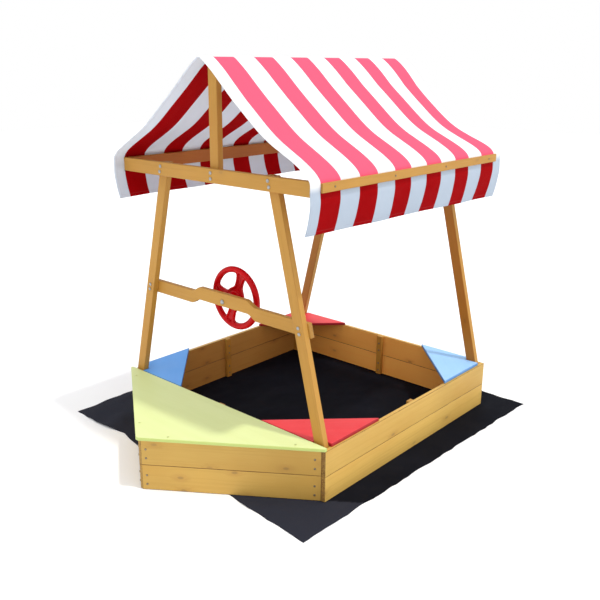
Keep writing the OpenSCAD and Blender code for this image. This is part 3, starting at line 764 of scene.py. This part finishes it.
def windowOutline(fromAngle, toAngle, steps=14):
    # one opening between two spokes, drawn round from the first spoke's edge to the next one's
    inner, outer = wheel["windowFrom"], wheel["radius"] - wheel["rim"] * 0.55
    points = []
    for step in range(steps + 1):
        r = inner + (outer - inner) * step / steps
        turn = math.radians(fromAngle) + math.asin(min(0.95, (spokeHalf(r) + 0.001) / r))
        points.append((r * math.cos(turn), r * math.sin(turn)))
    start = math.atan2(points[-1][1], points[-1][0])
    far = []
    for step in range(steps + 1):
        r = outer - (outer - inner) * step / steps
        turn = math.radians(toAngle) - math.asin(min(0.95, (spokeHalf(r) + 0.001) / r))
        far.append((r * math.cos(turn), r * math.sin(turn)))
    finish = math.atan2(far[0][1], far[0][0])
    while finish < start:
        finish += 2 * math.pi
    for step in range(1, 20):
        turn = start + (finish - start) * step / 20
        points.append((outer * math.cos(turn), outer * math.sin(turn)))
    points += far
    start, finish = math.atan2(far[-1][1], far[-1][0]), math.atan2(points[0][1], points[0][0])
    while finish > start:
        finish -= 2 * math.pi
    if start - finish > 0.15:
        for step in range(1, 8):
            turn = start + (finish - start) * step / 8
            points.append((inner * math.cos(turn), inner * math.sin(turn)))
    return points


def shown(piece):
    # the mesh that the piece's modifiers give
    bpy.context.view_layer.update()
    return bpy.data.meshes.new_from_object(piece.evaluated_get(bpy.context.evaluated_depsgraph_get()))


def relaxed(points, rounds):
    for _ in range(rounds):
        points = [((a[0] + 2 * b[0] + c[0]) / 4, (a[1] + 2 * b[1] + c[1]) / 4)
                  for a, b, c in zip(points[-1:] + points[:-1], points, points[1:] + points[:1])]
    return points


def boreHub(piece):
    # the bolt's bore right through, and the pocket that the nut sits in behind the cap
    back, front = -wheel["hubBack"] - wheel["reach"], wheel["stem"] + wheel["reach"]
    for radius, end in ((wheel["bore"], front), (wheel["pocket"], wheel["pocketEnd"])):
        drill = bmesh.new()
        bmesh.ops.create_cone(drill, cap_ends=True, cap_tris=False, segments=48, radius1=radius,
                              radius2=radius, depth=end - back,
                              matrix=Matrix.Translation((0, 0, (back + end) / 2)))
        mesh = bpy.data.meshes.new("drill")
        drill.to_mesh(mesh)
        drill.free()
        tool = bpy.data.objects.new("drill", mesh)
        scene.collection.objects.link(tool)
        cut = piece.modifiers.new("drilled", "BOOLEAN")
        cut.operation, cut.solver, cut.object = "DIFFERENCE", "EXACT", tool
        bored = shown(piece)
        piece.modifiers.clear()
        piece.data = bored
        bpy.data.objects.remove(tool)
        bpy.data.meshes.remove(mesh)


def makeWheel():
    body = bmesh.new()
    # rim: a circle spun round the axle, drawn with the axle along Z and turned at the end
    ring = bmesh.ops.create_circle(body, cap_ends=False, radius=wheel["rim"], segments=28)["verts"]
    bmesh.ops.rotate(body, verts=ring, matrix=Matrix.Rotation(math.pi / 2, 3, "X"))
    bmesh.ops.translate(body, verts=ring, vec=(wheel["radius"], 0, 0))
    hoop = list({edge for vertex in ring for edge in vertex.link_edges})
    bmesh.ops.spin(body, geom=ring + hoop, cent=(0, 0, 0), axis=(0, 0, 1), angle=2 * math.pi,
                   steps=110, use_merge=True)
    # three webs
    for turn in wheel["spokes"]:
        outline = []
        for step in range(17):
            r = 0.012 + (wheel["radius"] - 0.012) * step / 16
            outline.append((r, spokeHalf(max(r, 0.05))))
        outline += [(x, -y) for x, y in reversed(outline)]
        c, s = math.cos(math.radians(turn)), math.sin(math.radians(turn))
        outline = [(x * c - y * s, x * s + y * c) for x, y in outline]
        raiseBoard(body, outline, "z", -wheel["web"] / 2 - 0.0015, wheel["web"] / 2 - 0.0015)
    # hub, its back and the stem that stands on the washer
    for low, high, r0, r1 in ((-wheel["hubBack"], 0.008, wheel["hub"], wheel["hub"]),
                              (0.0, wheel["stem"], 0.027, 0.017),
                              (-0.0035, 0.001, wheel["plate"], wheel["plate"])):
        bmesh.ops.create_cone(body, cap_ends=True, cap_tris=False, segments=48, radius1=r0, radius2=r1,
                              depth=high - low, matrix=Matrix.Translation((0, 0, (low + high) / 2)))
    bmesh.ops.recalc_face_normals(body, faces=body.faces)
    mesh = bpy.data.meshes.new("wheelCore")
    # raised borders round the three openings
    first, second, third = wheel["spokes"]
    for fromTurn, toTurn in ((first, second), (second, third), (third, first + 360)):
        points = relaxed(windowOutline(fromTurn, toTurn), 5)
        for height, thick in ((0.0038, wheel["rib"]), (-0.0048, wheel["rib"] * 0.9),
                              (-0.0005, wheel["rib"] * 0.9)):
            curve = bpy.data.curves.new("border", "CURVE")
            curve.dimensions = "3D"
            curve.bevel_depth = thick
            curve.bevel_resolution = 4
            spline = curve.splines.new("POLY")
            spline.points.add(len(points) - 1)
            for point, (x, y) in zip(spline.points, points):
                point.co = (x, y, height, 1)
            spline.use_cyclic_u = True
            holder = bpy.data.objects.new("border", curve)
            body.from_mesh(bpy.data.meshes.new_from_object(holder))
            bpy.data.objects.remove(holder)
            bpy.data.curves.remove(curve)
    body.to_mesh(mesh)
    body.free()
    piece = bpy.data.objects.new("wheel_moulding", mesh)
    scene.collection.objects.link(piece)
    remesh = piece.modifiers.new("one skin", "REMESH")
    remesh.mode = "VOXEL"
    remesh.voxel_size = wheel["voxel"]
    remesh.use_smooth_shade = True
    soften = piece.modifiers.new("moulded corners", "SMOOTH")
    soften.factor = 0.5
    soften.iterations = wheel["smooth"]
    skin = shown(piece)
    piece.modifiers.clear()
    piece.data = skin
    boreHub(piece)
    piece.data.transform(Matrix.Translation(wheel["place"]) @ Matrix.Rotation(math.pi / 2, 4, "X"))
    for polygon in piece.data.polygons:
        polygon.use_smooth = True
    return piece


def mouldedPlastic(name, colour, shade):
    f = Finish(name)
    place = f.objectPlace()
    orange = f.cloud(place, 420.0, 2.0, 0.5)
    flow = f.cloud(place, 18.0, 3.0)
    scuffs = f.soften(f.cloud(f.scaled(place, (60.0, 60.0, 160.0)), 1.0, 5.0, 0.7), 0.62, 0.75)
    tint = f.mix(f.soften(flow, 0.3, 0.7) * 0.5, colour, shade)
    tint = f.mix(scuffs * 0.25, tint, rgb(0.36, 0.004, 0.008))
    rough = f.soften(flow, 0.3, 0.7, 0.2, 0.32) + scuffs * 0.15
    return f.surface({"IOR": 1.5, "Specular IOR Level": 0.13, "Coat Weight": 0.04, "Coat Roughness": 0.12},
                     {"Base Color": tint, "Roughness": rough}, orange, 0.00012)


steering = makeWheel()
steering.data.materials.append(mouldedPlastic("wheelPlastic", rgb(0.58, 0.0015, 0.005),
                                              rgb(0.44, 0.001, 0.003)))
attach(steering, "steering_wheel")
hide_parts("steering_wheel")
print("steering wheel moulded,", len(steering.data.polygons), "faces")


# ---- metal and the cap ----
def platedSteel(name, bright, dim):
    f = Finish(name)
    place = f.objectPlace()
    spangle = f.add("ShaderNodeTexVoronoi", {"feature": "F1"}, {"Vector": place, "Scale": 700.0})
    brushed = f.cloud(f.scaled(place, (900.0, 900.0, 120.0)), 1.0, 3.0)
    dull = f.soften(f.cloud(place, 140.0, 3.0), 0.35, 0.7)
    colour = f.mix(dull * 0.6, bright, dim)
    rough = f.soften(brushed, 0.3, 0.7, 0.32, 0.5) + dull * 0.1
    return f.surface({"Metallic": 0.9}, {"Base Color": colour, "Roughness": rough},
                     brushed * 0.6 + spangle * 0.4, 0.00006)


zinc = platedSteel("zincSteel", rgb(0.46, 0.46, 0.46), rgb(0.30, 0.30, 0.31))
limeScrew = platedSteel("limeScrew", rgb(0.66, 0.72, 0.34), rgb(0.54, 0.60, 0.26))
dullScrew = platedSteel("dullScrew", rgb(0.30, 0.24, 0.16), rgb(0.19, 0.14, 0.09))
capPlastic = mouldedPlastic("capPlastic", rgb(0.40, 0.005, 0.012), rgb(0.33, 0.004, 0.010))
for node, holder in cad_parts.items():
    if holder.hide_render:
        continue
    usual = dullScrew if node.endswith("screws") else zinc
    holder.data.materials.clear()
    holder.data.materials.append({"wheel_cap": capPlastic, "lid_screws": limeScrew}.get(node, usual))
print("screws, bolts and cap finished")

# ---- floor and light ----
studio = {"skyLow": 0.77, "skyHigh": 1.25, "sun": 1.4, "sunAngle": 3.5, "sunFrom": (0.384, 0.14, 1.0),
          "sunColour": (1.0, 0.985, 0.95), "floor": 14}
body = bmesh.new()
bmesh.ops.create_grid(body, x_segments=1, y_segments=1, size=studio["floor"])
mesh = bpy.data.meshes.new("floor")
body.to_mesh(mesh)
body.free()
floor = bpy.data.objects.new("floor", mesh)
scene.collection.objects.link(floor)
f = Finish("floor")
speck = f.soften(f.cloud(f.objectPlace(), 3.0, 2.0), 0.3, 0.7, 0.0, 1.0)
pale = f.mix(speck, rgb(0.945, 0.945, 0.95), rgb(0.955, 0.955, 0.955))
floor.data.materials.append(f.surface({"Roughness": 0.9, "Specular IOR Level": 0.1}, {"Base Color": pale}))

# a sky that is brighter overhead, and plain white where it is seen straight
world = bpy.data.worlds.new("sky")
scene.world = world
world.use_nodes = True
tree = world.node_tree
tree.nodes.clear()
place = tree.nodes.new("ShaderNodeTexCoord")
upward = tree.nodes.new("ShaderNodeSeparateXYZ")
tree.links.new(place.outputs["Generated"], upward.inputs[0])
glow = tree.nodes.new("ShaderNodeMapRange")
for socket, value in (("From Min", 0.0), ("From Max", 1.0),
                      ("To Min", studio["skyLow"]), ("To Max", studio["skyHigh"])):
    glow.inputs[socket].default_value = value
tree.links.new(upward.outputs["Z"], glow.inputs["Value"])
sky, backdrop = tree.nodes.new("ShaderNodeBackground"), tree.nodes.new("ShaderNodeBackground")
sky.inputs["Color"].default_value = (0.97, 0.985, 1.0, 1)
tree.links.new(glow.outputs[0], sky.inputs["Strength"])
backdrop.inputs["Color"].default_value = (1.0, 1.0, 1.0, 1)
seen = tree.nodes.new("ShaderNodeLightPath")
choose = tree.nodes.new("ShaderNodeMixShader")
tree.links.new(seen.outputs["Is Camera Ray"], choose.inputs[0])
tree.links.new(sky.outputs[0], choose.inputs[1])
tree.links.new(backdrop.outputs[0], choose.inputs[2])
tree.links.new(choose.outputs[0], tree.nodes.new("ShaderNodeOutputWorld").inputs["Surface"])
lamp = bpy.data.lights.new("keyLight", "SUN")
lamp.energy = studio["sun"]
lamp.angle = math.radians(studio["sunAngle"])
lamp.color = studio["sunColour"]
key = bpy.data.objects.new("keyLight", lamp)
key.rotation_euler = Vector(studio["sunFrom"]).to_track_quat("Z", "Y").to_euler()
scene.collection.objects.link(key)
print("lights set")
